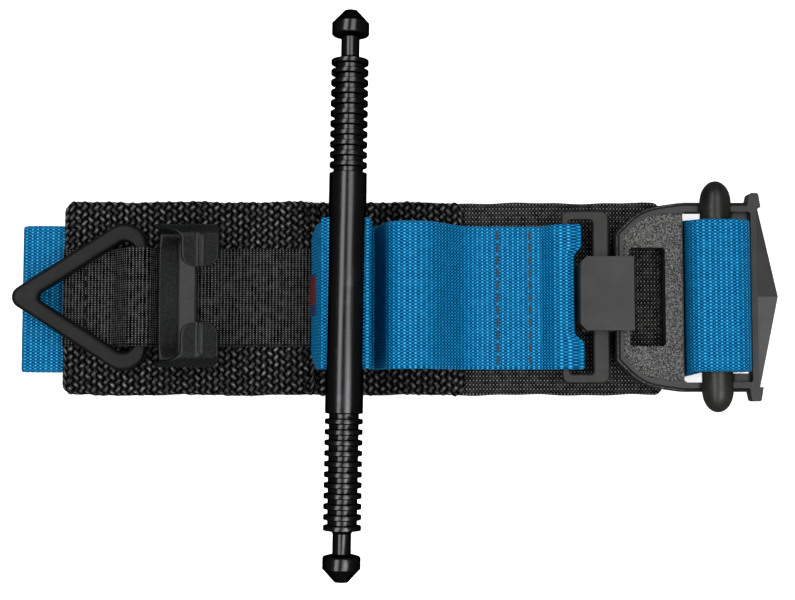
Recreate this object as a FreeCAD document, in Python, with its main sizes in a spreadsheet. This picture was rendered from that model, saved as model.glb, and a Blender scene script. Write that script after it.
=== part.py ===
"""Windlass tourniquet, stowed: base webbing on its folded main strap, windlass, clip, rings and buckle.

Axes: +X along the webbing towards the buckle, +Y across it, +Z up. The origin is on the surface that the
tourniquet lies on, under the middle of its box.
"""

import FreeCAD, Part
import math
import os

PARTS = "parts"

# Driving dimensions in mm. Places along X and Y are measured from the origin, heights from the surface.
DIMENSIONS = {
    # main strap, folded under the base
    "strap_width": 39.4,
    "strap_thick": 1.4,
    "layer_pitch": 1.5,
    "layer_count": 6,
    "strap_left": -82.0,
    "strap_right": 71.0,
    "fold_left": -98.6,
    # base webbings, stacked on the strap
    "base_width": 51.6,
    "lining_thick": 1.4,
    "lining_left": -86.9,
    "lining_right": 71.4,
    "weave_thick": 1.6,
    "weave_left": -87.9,
    "weave_right": 18.6,
    "cover_thick": 1.4,
    "cover_left": -87.2,
    "cover_right": -20.9,
    "corner_round": 3.0,
    # retainer webbing, triangular ring and windlass clip
    "retainer_width": 26.0,
    "retainer_thick": 1.0,
    "retainer_left": -87.6,
    "retainer_right": -21.2,
    "tri_apex": -102.9,
    "tri_back": -64.9,
    "tri_half_angle": 32.6,
    "tri_member": 4.6,
    "tri_bar": 3.4,
    "tri_apex_round": 3.0,
    "tri_back_round": 6.0,
    "tri_rise": 3.0,
    "clip_left": -61.9,
    "clip_right": -44.6,
    "clip_floor_right": -51.6,
    "clip_lip_left": -54.6,
    "clip_width": 37.0,
    "clip_wall": 1.4,
    "clip_plate": 0.6,
    "clip_tunnel": 1.3,
    "clip_floor": 1.1,
    "clip_inside": 9.7,
    "clip_mouth": 14.0,
    # windlass rod
    "rod_diameter": 9.525,
    "rod_x": -12.0,
    "rod_z": 32.6,
    "rod_lean": -0.86,
    "rod_plain": 60.4,
    "rib_count": 11,
    "rib_pitch": 2.63,
    "rib_width": 1.27,
    "rib_floor": 7.5,
    "neck_length": 6.3,
    "neck_diameter": 4.7,
    "knob_length": 3.4,
    "cone_length": 3.0,
    "cone_tip": 3.4,
    "slot_length": 39.6,
    "slot_height": 2.8,
    # constricting band
    "band_width": 38.1,
    "band_thick": 1.3,
    "hump_crown": 26.6,
    "leg_slope": 1.9,
    "stitch_inner": 27.4,
    "stitch_outer": 35.9,
    # receiver ring
    "ring_left": 44.0,
    "ring_right": 56.4,
    "ring_height": 45.3,
    "ring_thick": 2.0,
    "ring_z": 16.7,
    "ring_left_bar": 2.0,
    "ring_right_bar": 4.2,
    "ring_end_bar": 2.4,
    # hook buckle
    "buckle_bottom": 13.0,
    "buckle_thick": 4.8,
    "plate_left": 58.2,
    "plate_nose": 16.75,
    "rail_start": 75.4,
    "rail_outer": 24.9,
    "rail_inner": 22.4,
    "slot_left": 75.9,
    "slot_right": 93.7,
    "ledge_left": 89.6,
    "ledge_half": 20.0,
    "ledge_thick": 2.2,
    "tab_corner": 96.3,
    "tab_corner_half": 23.6,
    "tab_apex": 100.5,
    "tab_bar": 1.5,
    "tab_fall": 3.4,
    "lug_start": 93.0,
    "lug_reach": 27.4,
    "window_left": 61.8,
    "window_right": 71.2,
    "window_half": 13.0,
    "rim_width": 1.5,
    "rim_height": 0.6,
    "hook_left": 47.9,
    "hook_half": 9.6,
    "hook_shift": 0.6,
    "hook_wall": 1.6,
    "hook_corner": 2.0,
    "jaw_bottom": 12.5,
    "jaw_thick": 1.8,
    "tongue_bottom": 20.2,
    "tongue_thick": 1.8,
    "tongue_right": 62.6,
    # slide bar
    "bar_diameter": 8.0,
    "bar_x": 84.0,
    "bar_z": 19.4,
    "bar_length": 60.4,
    "bar_slack": 0.35,
    # thread
    "thread": 0.45,
    "stitch_length": 2.2,
    "stitch_gap": 1.1,
}

doc = FreeCAD.newDocument("tourniquet")
sheet = doc.addObject("Spreadsheet::Sheet", "dimensions")
for row, (alias, value) in enumerate(DIMENSIONS.items(), start=1):
    sheet.set(f"A{row}", alias)
    sheet.set(f"B{row}", str(value))
    sheet.setAlias(f"B{row}", alias)
doc.recompute()


def size(alias):
    """The value of one cell of the sheet."""
    return float(sheet.get(alias))


def bind(thing, prop, formula):
    """Tie a property to the sheet: words in the formula that are aliases become cell references."""
    words = []
    for word in formula.split():
        words.append(f"<<dimensions>>.{word}" if word in DIMENSIONS else word)
    thing.setExpression(prop, " ".join(words))


sheet.Label = "dimensions"

# Heights of the stack, from the surface up
LINING_Z = size("layer_pitch") * size("layer_count")
WEAVE_Z = LINING_Z + size("lining_thick")
COVER_Z = WEAVE_Z + size("weave_thick")
TOP_Z = COVER_Z + size("cover_thick")


def layer_z(number):
    """Height of the middle of a strap layer; layer 1 is the one against the base."""
    return LINING_Z - size("layer_pitch") * number + size("strap_thick") / 2


# ---------------------------------------------------------------- outlines


def vector(point):
    return FreeCAD.Vector(point[0], point[1], 0)


def rounded(points, closed):
    """Lines and arcs through corner points (u, v, radius), each corner rounded by its own radius."""
    count = len(points)
    starts = []
    ends = []
    arcs = []
    for i, corner in enumerate(points):
        here = vector(corner)
        radius = corner[2] if len(corner) > 2 else 0
        if radius == 0 or (not closed and i in (0, count - 1)):
            starts.append(here)
            ends.append(here)
            arcs.append(None)
            continue
        back = vector(points[i - 1]) - here
        ahead = vector(points[(i + 1) % count]) - here
        back.normalize()
        ahead.normalize()
        half = back.getAngle(ahead) / 2
        reach = radius / math.tan(half)
        inward = back + ahead
        inward.normalize()
        centre = here + inward * (radius / math.sin(half))
        starts.append(here + back * reach)
        ends.append(here + ahead * reach)
        arcs.append(Part.Arc(starts[-1], centre - inward * radius, ends[-1]))
    edges = []
    for i in range(count):
        if arcs[i]:
            edges.append(arcs[i])
        if i < count - 1 or closed:
            nearest = starts[(i + 1) % count]
            if (nearest - ends[i]).Length > 1e-6:
                edges.append(Part.LineSegment(ends[i], nearest))
    return edges


def beside(points, distance):
    """Corner points of a path moved sideways, to its left when distance is positive."""
    moved = []
    count = len(points)
    for i, corner in enumerate(points):
        here = vector(corner)
        sides = []
        if i > 0:
            sides.append(here - vector(points[i - 1]))
        if i < count - 1:
            sides.append(vector(points[i + 1]) - here)
        for side in sides:
            side.normalize()
        normals = [FreeCAD.Vector(-side.y, side.x, 0) for side in sides]
        total = normals[0] + normals[-1]
        total.normalize()
        place = here + total * (distance / total.dot(normals[0]))
        radius = corner[2] if len(corner) > 2 else 0
        if radius and len(sides) == 2:
            turns_left = sides[0].cross(sides[1]).z > 0
            radius += -distance if turns_left else distance
        moved.append((place.x, place.y, radius))
    return moved


def ribbon(points, thickness):
    """Closed outline of webbing of even thickness that follows a path of rounded corners."""
    left = beside(points, thickness / 2)
    right = beside(points, -thickness / 2)
    right.reverse()
    edges = rounded(left, False)
    edges.append(Part.LineSegment(vector(left[-1]), vector(right[0])))
    edges += rounded(right, False)
    edges.append(Part.LineSegment(vector(right[-1]), vector(left[0])))
    return edges


def rectangle(low_u, low_v, high_u, high_v, radius=0):
    return rounded(
        [(low_u, low_v, radius), (high_u, low_v, radius), (high_u, high_v, radius), (low_u, high_v, radius)],
        True,
    )


# ---------------------------------------------------------------- features


def new_body(label):
    body = doc.addObject("PartDesign::Body", label)
    body.Label = label
    return body


def sketch_on(body, role, edges, offset=0.0):
    """A sketch of ready-made edges on one of the body's own origin planes."""
    plane = [f for f in body.Origin.OriginFeatures if f.Role == role][0]
    sketch = body.newObject("Sketcher::SketchObject", "sketch")
    sketch.AttachmentSupport = [(plane, "")]
    sketch.MapMode = "FlatFace"
    sketch.AttachmentOffset = FreeCAD.Placement(FreeCAD.Vector(0, 0, offset), FreeCAD.Rotation())
    for edge in edges:
        sketch.addGeometry(edge, False)
    sketch.Visibility = False
    return sketch


def pad(body, sketch, formula, symmetric=False):
    feature = body.newObject("PartDesign::Pad", "pad")
    feature.Profile = sketch
    if symmetric:
        feature.SideType = "Symmetric"
    bind(feature, "Length", formula)
    doc.recompute()
    return feature


def cut(body, sketch, formula, symmetric=False, reverse=False):
    """A pocket; it stops the build when it takes no material away."""
    before = body.Shape.Volume
    feature = body.newObject("PartDesign::Pocket", "pocket")
    feature.Profile = sketch
    if symmetric:
        feature.SideType = "Symmetric"
    feature.Reversed = reverse
    bind(feature, "Length", formula)
    doc.recompute()
    if body.Shape.Volume > before - 1e-3:
        raise RuntimeError(f"a pocket in {body.Label} cuts nothing")
    return feature


def turned(body, sketch, axis):
    feature = body.newObject("PartDesign::Revolution", "turning")
    feature.Profile = sketch
    feature.ReferenceAxis = (sketch, [axis])
    feature.Angle = 360
    doc.recompute()
    return feature


def edge_names(shape, wanted):
    return [f"Edge{i}" for i, edge in enumerate(shape.Edges, start=1) if wanted(edge)]


def soften(body, radius, wanted, kind="Fillet"):
    """Round or bevel the edges that a test picks out."""
    base = body.Tip
    names = edge_names(base.Shape, wanted)
    feature = body.newObject(f"PartDesign::{kind}", kind.lower())
    feature.Base = (base, names)
    if kind == "Fillet":
        feature.Radius = radius
    else:
        feature.Size = radius
    doc.recompute()
    return feature


def flat_edge_at(height):
    """A test for edges that lie wholly at one height."""

    def test(edge):
        box = edge.BoundBox
        return abs(box.ZMin - height) < 1e-4 and abs(box.ZMax - height) < 1e-4

    return test


def webbing(label, points, thickness, width_formula):
    """Webbing bent along a path in the XZ plane."""
    body = new_body(label)
    sketch = sketch_on(body, "XZ_Plane", ribbon(points, thickness))
    pad(body, sketch, width_formula, symmetric=True)
    return body


def flat_webbing(label, left, right, bottom, thick_formula, radius):
    """A flat length of base webbing with rounded corners."""
    body = new_body(label)
    half = size("base_width") / 2
    sketch = sketch_on(body, "XY_Plane", rectangle(left, -half, right, half, radius), bottom)
    pad(body, sketch, thick_formula)
    return body


def group(label, shapes):
    """Identical small pieces as separate solids of one sub-part."""
    feature = doc.addObject("Part::Feature", label)
    feature.Label = label
    feature.Shape = Part.makeCompound(shapes)
    return feature


def stitch_row(x, half_width, z, clear_half=0.0):
    """A straight row of thread stitches at x, across the webbing, with none in the middle clear_half."""
    thread = size("thread")
    length = size("stitch_length")
    pitch = length + size("stitch_gap")
    count = int((2 * half_width + size("stitch_gap")) // pitch)
    start = -(count * pitch - size("stitch_gap")) / 2
    row = []
    for i in range(count):
        low = start + i * pitch
        if abs(low + length / 2) < clear_half + length / 2:
            continue
        row.append(Part.makeBox(thread, length, thread / 2, FreeCAD.Vector(x - thread / 2, low, z)))
    return row


# ---------------------------------------------------------------- sub-parts


def make_base():
    """Fine lining below, coarse weave on it, and a coarse cover over the left part."""
    corner = size("corner_round")
    flat_webbing("base_lining", size("lining_left"), size("lining_right"), LINING_Z, "lining_thick", corner)
    flat_webbing("base_webbing", size("weave_left"), size("weave_right"), WEAVE_Z, "weave_thick", 1.2)
    flat_webbing("base_cover", size("cover_left"), size("cover_right"), COVER_Z, "cover_thick", 1.2)


def tri_centre():
    """The triangular ring's hinge line: the middle of its straight bar."""
    return size("tri_back") - size("tri_bar") / 2, TOP_Z + size("tri_rise")


def make_retainer():
    """Webbing sewn down at both ends, which runs over the ring's bar and through the clip's foot."""
    thick = size("retainer_thick")
    low = TOP_Z + thick / 2
    bar_x, bar_z = tri_centre()
    crest = bar_z + size("tri_bar") / 2 + 0.45 + thick / 2
    in_clip = TOP_Z + size("clip_plate") + size("clip_tunnel") / 2
    path = [
        (size("retainer_left"), low),
        (bar_x - 7.5, low, 2.0),
        (bar_x - 2.6, crest, 2.4),
        (bar_x + 2.2, crest, 1.6),
        (size("clip_left") - 0.6, in_clip, 1.2),
        (size("clip_floor_right") + 0.8, in_clip, 3.0),
        (size("clip_right") - 2.0, low, 3.0),
        (size("retainer_right"), low),
    ]
    webbing("retainer_webbing", path, thick, "retainer_width")


def make_tri_ring():
    """Triangular ring with a straight round-edged bar; it hinges on that bar."""
    half_angle = math.radians(size("tri_half_angle"))
    slope = math.tan(half_angle)
    apex = size("tri_apex")
    back = size("tri_back")
    inner_apex = apex + size("tri_member") / math.sin(half_angle)
    inner_back = back - size("tri_bar")
    back_half = (back - apex) * slope
    inner_half = (inner_back - inner_apex) * slope
    round_back = size("tri_back_round")
    outer = [
        (apex, 0, size("tri_apex_round")),
        (back, -back_half, round_back),
        (back, back_half, round_back),
    ]
    inner = [(inner_apex, 0, 1.5), (inner_back, -inner_half, 2.6), (inner_back, inner_half, 2.6)]
    bottom = TOP_Z + size("tri_rise") - size("tri_bar") / 2
    body = new_body("tri_ring")
    sketch = sketch_on(body, "XY_Plane", rounded(outer, True) + rounded(inner, True), bottom)
    pad(body, sketch, "tri_bar")
    top = bottom + size("tri_bar")
    soften(body, 1.25, lambda e: flat_edge_at(top)(e) or flat_edge_at(bottom)(e))


def make_clip():
    """Open-topped channel with two inward lips; the retainer webbing runs through its foot."""
    wall = size("clip_wall")
    half = size("clip_width") / 2
    foot = TOP_Z
    tunnel_low = foot + size("clip_plate")
    tunnel_high = tunnel_low + size("clip_tunnel")
    floor_top = tunnel_high + size("clip_floor")
    lip_low = floor_top + size("clip_inside")
    top = lip_low + size("clip_plate") * 2
    mouth = size("clip_mouth") / 2
    outer = [
        (-half, foot, 3.0),
        (half, foot, 3.0),
        (half, top, 4.6),
        (mouth, top, 0.5),
        (mouth, lip_low, 0.5),
        (half - wall, lip_low, 3.4),
        (half - wall, floor_top, 4.0),
        (-half + wall, floor_top, 4.0),
        (-half + wall, lip_low, 3.4),
        (-mouth, lip_low, 0.5),
        (-mouth, top, 0.5),
        (-half, top, 4.6),
    ]
    tunnel_half = size("retainer_width") / 2 + 0.3
    tunnel = rectangle(-tunnel_half, tunnel_low, tunnel_half, tunnel_high)
    body = new_body("windlass_clip")
    section = sketch_on(body, "YZ_Plane", rounded(outer, True) + tunnel, size("clip_left"))
    pad(body, section, "clip_right - clip_left")
    # the floor stops short of the lips' right ends
    floor_half = half - wall - 3.0
    clear_floor = rectangle(size("clip_floor_right"), -floor_half, size("clip_right") + 5, floor_half, 2.0)
    sketch = sketch_on(body, "XY_Plane", clear_floor, floor_top + 0.4)
    cut(body, sketch, "clip_floor + clip_tunnel + clip_plate + 1")
    # the lips start right of the walls' left ends, with round corners
    lip_reach = half - wall - 0.2
    clear_lips = rectangle(size("clip_left") - 5, -lip_reach, size("clip_lip_left"), lip_reach, 3.0)
    sketch = sketch_on(body, "XY_Plane", clear_lips, top + 1)
    cut(body, sketch, "clip_plate * 2 + 4.5")
    # rounded lip tips, seen from above
    for side in (-1, 1):
        for end in (size("clip_lip_left"), size("clip_right")):
            round_lip_tip(body, side, end, mouth, top)


def round_lip_tip(body, side, end, mouth, top):
    """Take one corner off a lip, so that its tip is a half round."""
    radius = 3.6
    inward = 1 if end < size("clip_right") - 1 else -1
    corner = (end, side * mouth)
    along = (end + inward * radius, side * mouth)
    across = (end, side * (mouth + radius))
    centre_x = end + inward * radius
    centre_y = side * (mouth + radius)
    diagonal = radius / math.sqrt(2)
    middle = (centre_x - inward * diagonal, centre_y - side * diagonal)
    outside = 0.2
    points = [
        (end - inward * outside, side * (mouth + radius)),
        (end - inward * outside, side * (mouth - outside)),
        (end + inward * radius, side * (mouth - outside)),
    ]
    edges = [
        Part.LineSegment(vector(points[0]), vector(points[1])),
        Part.LineSegment(vector(points[1]), vector(points[2])),
        Part.LineSegment(vector(points[2]), vector(along)),
        Part.Arc(vector(along), vector(middle), vector(across)),
        Part.LineSegment(vector(across), vector(points[0])),
    ]
    sketch = sketch_on(body, "XY_Plane", edges, top + 1)
    cut(body, sketch, "clip_plate * 2 + 1.6")


def make_windlass():
    """Turned rod with ribbed grips, a necked knob at each end and a flat slot through its middle."""
    radius = size("rod_diameter") / 2
    floor = size("rib_floor") / 2
    chamfer = 0.16
    half = [(0, 0), (radius, 0)]
    place = size("rod_plain") / 2
    for _ in range(int(size("rib_count"))):
        groove_end = place + size("rib_pitch") - size("rib_width")
        half += [(radius, place - chamfer), (radius - chamfer, place), (floor, place + chamfer)]
        half += [(floor, groove_end - chamfer), (radius - chamfer, groove_end), (radius, groove_end + chamfer)]
        place += size("rib_pitch")
    neck = size("neck_diameter") / 2
    half += [(radius, place - chamfer), (radius - chamfer, place), (neck + 0.4, place + 0.3), (neck, place + 0.8)]
    place += size("neck_length")
    half += [(neck, place - 0.6), (radius - 0.3, place), (radius, place + 0.4)]
    place += size("knob_length")
    half += [(radius, place - 0.3), (radius - 0.3, place)]
    place += size("cone_length")
    half += [(size("cone_tip") / 2, place), (0, place)]
    mirrored = [(r, -y) for r, y in reversed(half[2:])]
    outline = half[2:] + mirrored
    body = new_body("windlass")
    sketch = sketch_on(body, "XY_Plane", rounded(outline, True))
    turned(body, sketch, "V_Axis")
    slot_half = size("slot_length") / 2
    high = size("slot_height") / 2
    slot = rectangle(-slot_half, -high, slot_half, high, high - 0.1)
    sketch = sketch_on(body, "YZ_Plane", slot)
    cut(body, sketch, "rod_diameter + 2", symmetric=True)
    rim = slot_half + 0.1

    def slot_mouth(edge):
        box = edge.BoundBox
        return box.ZMin > -high - 0.1 and box.ZMax < high + 0.1 and abs(box.YMax) < rim and abs(box.XMax) > 3

    soften(body, 0.3, slot_mouth)
    turn = FreeCAD.Rotation(FreeCAD.Vector(0, 0, 1), size("rod_lean"))
    body.Placement = FreeCAD.Placement(FreeCAD.Vector(size("rod_x"), 0, size("rod_z")), turn)
    bind(body, "Placement.Base.x", "rod_x")
    bind(body, "Placement.Base.z", "rod_z")


def band_levels():
    """Heights of the band's middle: laid flat on the weave, and its folded-back end under it."""
    thick = size("band_thick")
    flat = COVER_Z + thick / 2 + 0.15
    under = WEAVE_Z + thick / 2 + 0.05
    return flat, under


def left_foot():
    """Where the band's left leg leaves the base, just clear of the cover's edge."""
    return size("cover_right") + size("band_thick") / 2 + 0.1


def make_band():
    """The constricting band: anchor, leg up to the rod, pass through the slot, leg down, hump and loop."""
    thick = size("band_thick")
    rod_x = size("rod_x")
    rod_z = size("rod_z")
    radius = size("rod_diameter") / 2
    flat, under = band_levels()
    foot = left_foot()
    webbing("band_anchor", [(foot + 0.9, flat), (rod_x + 3.6, flat)], thick, "band_width")
    left = [
        (foot, COVER_Z + 0.1),
        (foot + size("leg_slope"), rod_z, 2.0),
        (rod_x - radius + 1.2, rod_z),
    ]
    webbing("band_left_leg", left, thick, "band_width")
    webbing("band_core", [(rod_x - 3.4, rod_z), (rod_x + 3.4, rod_z)], thick, "band_width")
    right_x = rod_x + radius + thick / 2 + 0.3
    right = [(rod_x + radius - 1.2, rod_z), (right_x, rod_z, 1.15), (right_x, flat + thick / 2 + 0.2)]
    webbing("band_right_leg", right, thick, "band_width")
    crown = size("hump_crown") - thick / 2
    ring_z = size("ring_z")
    reach = size("ring_thick") / 2 + 0.1 + thick / 2
    fold = size("ring_left") + size("ring_left_bar") + 0.05 + thick / 2
    split = 38.0
    lower_start = size("weave_right") + 4.0
    hump = [
        (right_x - thick / 2, flat),
        (-3.0, flat, 1.6),
        (0.0, crown, 4.6),
        (8.6, crown, 7.0),
        (19.2, flat, 9.0),
        (split - 0.6, flat),
    ]
    webbing("band_hump", hump, thick, "band_width")
    loop = [
        (split - 0.2, flat),
        (split + 1.4, flat, 1.4),
        (42.6, ring_z + reach, 3.0),
        (fold, ring_z + reach, 0.95),
        (fold, ring_z - reach, 0.95),
        (42.4, ring_z - reach, 2.4),
        (split + 2.4, under, 1.2),
        (split + 0.2, under),
    ]
    webbing("band_ring_loop", loop, thick, "band_width")
    webbing("band_return", [(lower_start, under), (split - 0.6, under)], thick, "band_width")


def make_label():
    """A small plain woven label on the outer face of the band's left leg."""
    thick = 0.3
    gap = size("band_thick") / 2 + thick / 2 + 0.06
    lean = size("leg_slope") / (size("rod_z") - COVER_Z)
    path = []
    for height in (TOP_Z + 1.0, TOP_Z + 9.0):
        path.append((left_foot() + lean * (height - COVER_Z) - gap, height))
    webbing("band_label", path, thick, "band_width / 3.6")


def make_receiver_ring():
    """Flat rectangular ring; the band loops round its left bar and the hook holds its right bar."""
    half = size("ring_height") / 2
    left = size("ring_left")
    right = size("ring_right")
    outer = rectangle(left, -half, right, half, 2.0)
    end = half - size("ring_end_bar")
    slot = rectangle(left + size("ring_left_bar"), -end, right - size("ring_right_bar"), end, 0.8)
    bottom = size("ring_z") - size("ring_thick") / 2
    body = new_body("receiver_ring")
    sketch = sketch_on(body, "XY_Plane", outer + slot, bottom)
    pad(body, sketch, "ring_thick")
    top = bottom + size("ring_thick")
    soften(body, 0.55, lambda e: flat_edge_at(top)(e) or flat_edge_at(bottom)(e))


def buckle_outline():
    """Shield-shaped nose, straight rails, lugs and a pointed thumb tab; drawn anticlockwise."""
    nose = size("plate_nose")
    left = size("plate_left")
    outer = size("rail_outer")
    lug = size("lug_start")
    reach = size("lug_reach")
    corner = size("tab_corner")
    lower = [
        (left, -nose, 1.5),
        (left + 6.4, -outer + 1.6, 14.0),
        (size("rail_start"), -outer, 18.0),
        (lug, -outer, 0),
        (lug + 0.5, -reach, 0.7),
        (corner - 0.5, -reach, 0.7),
        (corner, -size("tab_corner_half") - 0.6, 0),
        (size("tab_apex"), 0, 0),
    ]
    upper = [(x, -y, r) for x, y, r in reversed(lower[:-1])]
    return lower + upper


def make_buckle():
    """Moulded buckle: textured plate with a rim, window, strap slot, thumb tab and a hook for the ring."""
    bottom = size("buckle_bottom")
    top = bottom + size("buckle_thick")
    body = new_body("buckle_frame")
    sketch = sketch_on(body, "XY_Plane", rounded(buckle_outline(), True), bottom)
    pad(body, sketch, "buckle_thick")
    # smooth bevelled rim round the outside
    soften(body, 1.0, lambda e: flat_edge_at(top)(e) and e.BoundBox.XMax < size("lug_start") + 0.1, "Chamfer")
    # recessed plate inside the rim
    rim = size("rim_width") + 0.4
    plate = [
        (size("plate_left") + rim, -size("plate_nose") + 0.6, 1.5),
        (size("plate_left") + 6.4 + rim * 0.7, -size("rail_outer") + 1.6 + rim * 0.8, 13.0),
        (size("slot_left") + 2.0, -size("rail_outer") + rim + 0.9),
    ]
    plate += [(x, -y) + tuple(rest) for x, y, *rest in reversed(plate)]
    sketch = sketch_on(body, "XY_Plane", rounded(plate, True), top + 0.01)
    cut(body, sketch, "rim_height")
    # strap slot
    inner = size("rail_inner")
    slot = rectangle(size("slot_left"), -inner, size("slot_right"), inner, 0.8)
    sketch = sketch_on(body, "XY_Plane", slot, top + 1)
    cut(body, sketch, "buckle_thick + 2")
    # ledges across the slot's two outer corners
    for side in (-1, 1):
        edge_y = side * (inner + 0.5)
        ledge_y = side * size("ledge_half")
        right = size("slot_right") + 0.5
        ledge = rectangle(size("ledge_left"), min(edge_y, ledge_y), right, max(edge_y, ledge_y))
        sketch = sketch_on(body, "XY_Plane", ledge, bottom)
        pad(body, sketch, "ledge_thick")
    # window
    half = size("window_half")
    window = rectangle(size("window_left"), -half, size("window_right"), half, 1.0)
    sketch = sketch_on(body, "XY_Plane", window, top + 1)
    cut(body, sketch, "buckle_thick + 2")
    # thumb tab, highest along its middle and falling away to both sides
    tab_half = size("tab_corner_half")
    tab_edge = top - size("tab_fall")
    margin = 1.0
    roof = [
        (-tab_half, tab_edge),
        (0, top),
        (tab_half, tab_edge),
        (tab_half, top + margin),
        (-tab_half, top + margin),
    ]
    sketch = sketch_on(body, "YZ_Plane", rounded(roof, True), size("tab_apex") + margin)
    cut(body, sketch, "tab_apex + 1 - slot_right - tab_bar")
    # hook: jaw under the ring's right bar, riser up through the ring, tongue back over the bar
    wall = size("hook_wall")
    left = size("hook_left")
    jaw = size("jaw_bottom")
    jaw_top = jaw + size("jaw_thick")
    tongue = size("tongue_bottom")
    tongue_top = tongue + size("tongue_thick")
    joined = size("plate_left") + 2.2
    hook = [
        (joined, jaw),
        (left, jaw, 1.6),
        (left, tongue_top, 0.7),
        (size("tongue_right"), tongue_top, 0.5),
        (size("tongue_right"), tongue, 0.5),
        (left + wall, tongue, 0.5),
        (left + wall, jaw_top, 0.5),
        (joined, jaw_top),
    ]
    sketch = sketch_on(body, "XZ_Plane", rounded(hook, True), -size("hook_shift"))
    pad(body, sketch, "hook_half * 2", symmetric=True)
    # the hook's two free corners are cut off from tongue to jaw
    corner = size("hook_corner")
    for side in (-1, 1):
        edge_y = size("hook_shift") + side * size("hook_half")
        corner_cut = [
            (left - margin, edge_y - side * (corner + margin)),
            (left + corner + margin, edge_y + side * margin),
            (left - margin, edge_y + side * margin),
        ]
        sketch = sketch_on(body, "XY_Plane", rounded(corner_cut, True), tongue_top + margin)
        cut(body, sketch, "tongue_bottom + tongue_thick - jaw_bottom + 2")


def make_slide_bar():
    """Round friction bar across the rails, with bullet ends and a flat notch over each rail."""
    radius = size("bar_diameter") / 2
    half = size("bar_length") / 2
    nose = 5.6
    body = new_body("slide_bar")
    edges = [
        Part.LineSegment(FreeCAD.Vector(0, -half, 0), FreeCAD.Vector(0, half, 0)),
        Part.ArcOfEllipse(
            Part.Ellipse(FreeCAD.Vector(0, half, 0), FreeCAD.Vector(radius, half - nose, 0),
                         FreeCAD.Vector(0, half - nose, 0)),
            0, math.pi / 2),
        Part.LineSegment(FreeCAD.Vector(radius, half - nose, 0), FreeCAD.Vector(radius, nose - half, 0)),
        Part.ArcOfEllipse(
            Part.Ellipse(FreeCAD.Vector(0, -half, 0), FreeCAD.Vector(radius, nose - half, 0),
                         FreeCAD.Vector(0, nose - half, 0)),
            0, math.pi / 2),
    ]
    sketch = sketch_on(body, "XY_Plane", edges)
    turned(body, sketch, "V_Axis")
    rail_top = size("buckle_bottom") + size("buckle_thick") - size("bar_z")
    slack = size("bar_slack")
    for side in (-1, 1):
        low = min(side * (size("rail_inner") - slack), side * (size("rail_outer") + slack))
        high = max(side * (size("rail_inner") - slack), side * (size("rail_outer") + slack))
        notch = rectangle(low, -radius - 1, high, rail_top + slack / 2)
        sketch = sketch_on(body, "YZ_Plane", notch)
        cut(body, sketch, "bar_diameter + 2", symmetric=True)
    body.Placement = FreeCAD.Placement(FreeCAD.Vector(size("bar_x"), 0, size("bar_z")), FreeCAD.Rotation())
    bind(body, "Placement.Base.x", "bar_x")
    bind(body, "Placement.Base.z", "bar_z")


def make_main_strap():
    """One strap: sewn under the base, folded at the left, over the slide bar, then folded up below."""
    thick = size("strap_thick")
    fold = size("fold_left")
    right = size("strap_right")
    left = size("strap_left")
    first = layer_z(1)
    second = layer_z(2)
    loop_top = first + 0.95
    loop_low = second - 0.95
    run = [
        (right - 9.0, first),
        (left - 5.5, first, 12.0),
        (left - 10.5, loop_top, 12.0),
        (fold - 0.7, loop_top, 1.6),
        (fold - 0.7, loop_low, 1.6),
        (left - 10.5, loop_low, 12.0),
        (left - 5.5, second, 12.0),
        (right, second),
    ]
    webbing("main_strap", run, thick, "strap_width")
    bar_x = size("bar_x")
    crown = size("bar_z") + size("bar_diameter") / 2 + 0.4 + thick / 2
    up = size("slot_left") + 1.45
    down = size("slot_right") - 1.6
    wrap = [
        (right + 1.0, second),
        (up, second, 5.3),
        (up, crown, 4.2),
        (down, crown, 5.0),
        (down, layer_z(3), 5.6),
        (right + 1.0, layer_z(3)),
    ]
    webbing("main_strap_bar_wrap", wrap, thick, "strap_width")
    turn = size("layer_pitch") / 2
    tail = [
        (right, layer_z(3)),
        (left, layer_z(3), turn),
        (left, layer_z(4), turn),
        (right - 9.0, layer_z(4), turn),
        (right - 9.0, layer_z(5), turn),
        (left, layer_z(5), turn),
        (left, layer_z(6), turn),
        (right - 6.0, layer_z(6)),
    ]
    webbing("main_strap_tail", tail, thick, "strap_width")
    end = new_body("strap_end_stop")
    half = size("strap_width") / 2
    outline = rectangle(right - 5.9, -half, right + 3.0, half, 0.6)
    sketch = sketch_on(end, "XY_Plane", outline, 0)
    pad(end, sketch, "strap_thick * 2")


def make_stitching():
    """Thread rows where the webbings are sewn to each other."""
    retainer = size("retainer_width") / 2 - 1.0
    low = TOP_Z + size("retainer_thick")
    left_row = [size("retainer_left") + 5.8, size("retainer_left") + 2.2]
    right_row = [size("retainer_right") - 8.6]
    rows = []
    for x in left_row + right_row:
        rows += stitch_row(x, retainer, low)
    group("retainer_stitching", rows)
    band = size("band_width") / 2 - 1.2
    flat, _ = band_levels()
    high = flat + size("band_thick") / 2
    rows = []
    for x in (size("stitch_inner"), size("stitch_outer")):
        rows += stitch_row(x, band, high)
    group("band_stitching", rows)
    rows = []
    for x in (size("rod_x") - 4.0, size("rod_x")):
        rows += stitch_row(x, band, high)
    group("band_anchor_stitching", rows)
    edge = size("base_width") / 2 - 2.0
    beside_retainer = size("retainer_width") / 2 + 0.2
    group("cover_stitching", stitch_row(size("cover_right") - 2.4, edge, TOP_Z, beside_retainer))
    group("weave_stitching", stitch_row(size("weave_right") - 1.6, edge, COVER_Z))
    rows = []
    for x in (size("strap_right") - 3.4, size("strap_right") + 0.6):
        rows += stitch_row(x, size("strap_width") / 2 - 1.5, size("strap_thick") * 2)
    group("strap_end_stitching", rows)


make_base()
make_retainer()
make_tri_ring()
make_clip()
make_windlass()
make_band()
make_label()
make_receiver_ring()
make_buckle()
make_slide_bar()
make_main_strap()
make_stitching()
doc.recompute()

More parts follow.
